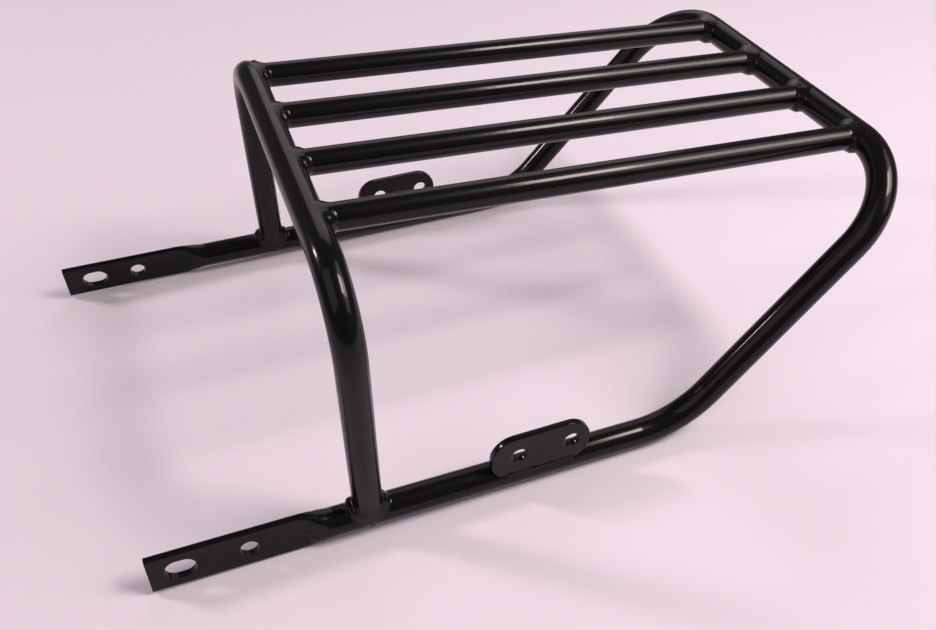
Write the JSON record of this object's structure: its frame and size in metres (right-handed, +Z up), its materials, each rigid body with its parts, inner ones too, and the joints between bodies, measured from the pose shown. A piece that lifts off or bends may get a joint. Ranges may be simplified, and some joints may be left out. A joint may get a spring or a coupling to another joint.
{
  "type": "motorcycle luggage rack",
  "caption": "Welded tube rack for a motorcycle: a bent loop with flattened, slotted bolting ends, a front hoop on its rails, a sloping deck of slats for luggage, and bolt tabs.",
  "frame": {"origin": "midway between the rails and midway along the rack, on the surface that it stands on", "axes": "+X to the rear of the motorcycle, +Y to its right-hand side, +Z up"},
  "size_m": [0.4628, 0.2799, 0.1742],
  "materials": {
    "black_paint": "gloss",
    "painted_weld": "gloss"
  },
  "bodies": {
    "root": {"main_loop": "black_paint", "front_hoop": "black_paint", "slat_1": "black_paint", "slat_2": "black_paint", "slat_3": "black_paint", "slat_4": "black_paint", "left_tab": "black_paint", "right_tab": "black_paint", "slat_1_front_weld": "painted_weld", "slat_1_rear_weld": "painted_weld", "slat_2_front_weld": "painted_weld", "slat_2_rear_weld": "painted_weld", "slat_3_front_weld": "painted_weld", "slat_3_rear_weld": "painted_weld", "slat_4_front_weld": "painted_weld", "slat_4_rear_weld": "painted_weld", "left_hoop_weld": "painted_weld", "right_hoop_weld": "painted_weld", "left_tab_inner_weld": "painted_weld", "left_tab_outer_weld": "painted_weld", "right_tab_inner_weld": "painted_weld", "right_tab_outer_weld": "painted_weld"}
  },
  "joints": []
}
